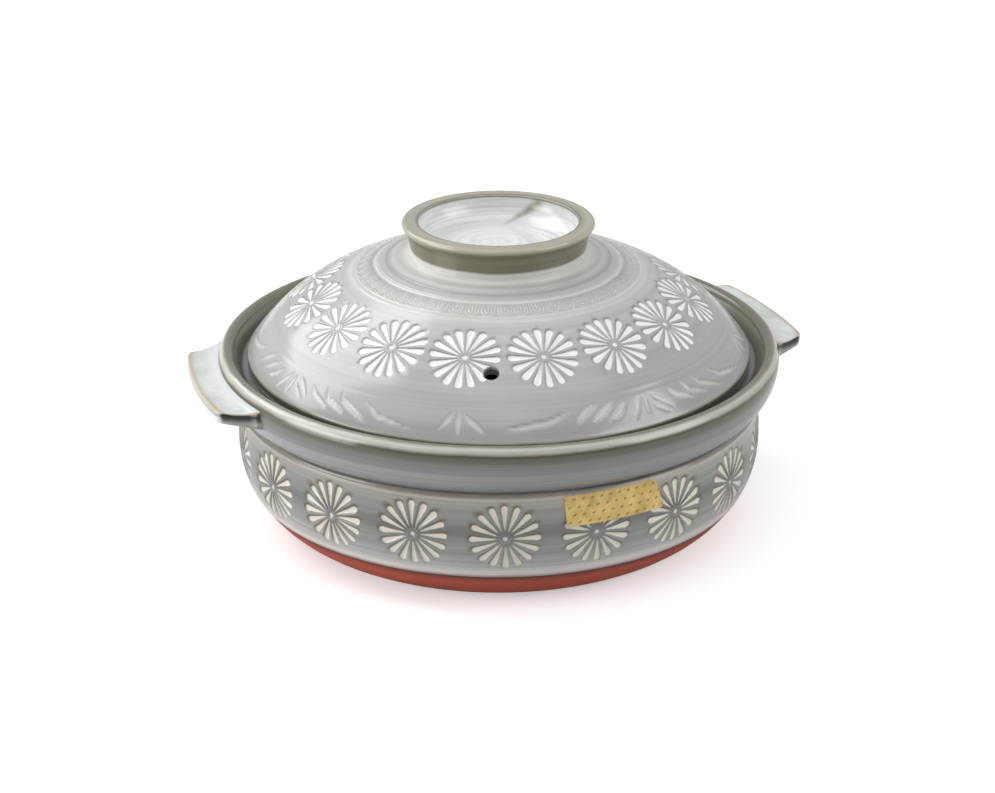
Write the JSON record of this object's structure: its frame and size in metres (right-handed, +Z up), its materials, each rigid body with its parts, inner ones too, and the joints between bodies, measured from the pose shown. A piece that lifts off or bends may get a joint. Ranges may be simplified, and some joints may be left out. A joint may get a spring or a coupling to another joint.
{
  "type": "donabe clay pot",
  "caption": "Wide round earthenware cooking pot with a flared collar, two lug ears and a domed lid with a ring grip, decorated with stamped flowers under a clear glaze.",
  "frame": {"origin": "middle of the foot, on the surface that the pot stands on", "axes": "+Z up through the lid; the two ears lie along X, each leaning slightly toward +Y"},
  "size_m": [0.331, 0.3, 0.162],
  "materials": {
    "pot_glaze": "clear gloss glaze over grey slip and brown clay",
    "ear_glaze": "clear gloss glaze over grey slip, brown at the edges",
    "lid_glaze": "clear gloss glaze over pale grey slip"
  },
  "bodies": {
    "pot": {"bowl": "pot_glaze", "left_ear": "ear_glaze", "right_ear": "ear_glaze"},
    "lid": {"lid_dome": "lid_glaze", "lid_ring_grip": "lid_glaze"}
  },
  "joints": [
    {"name": "lid_lift", "type": "slide", "parent": "pot", "child": "lid", "axis": [0, 0, 1], "range_m": [0, 0.12]}
  ]
}
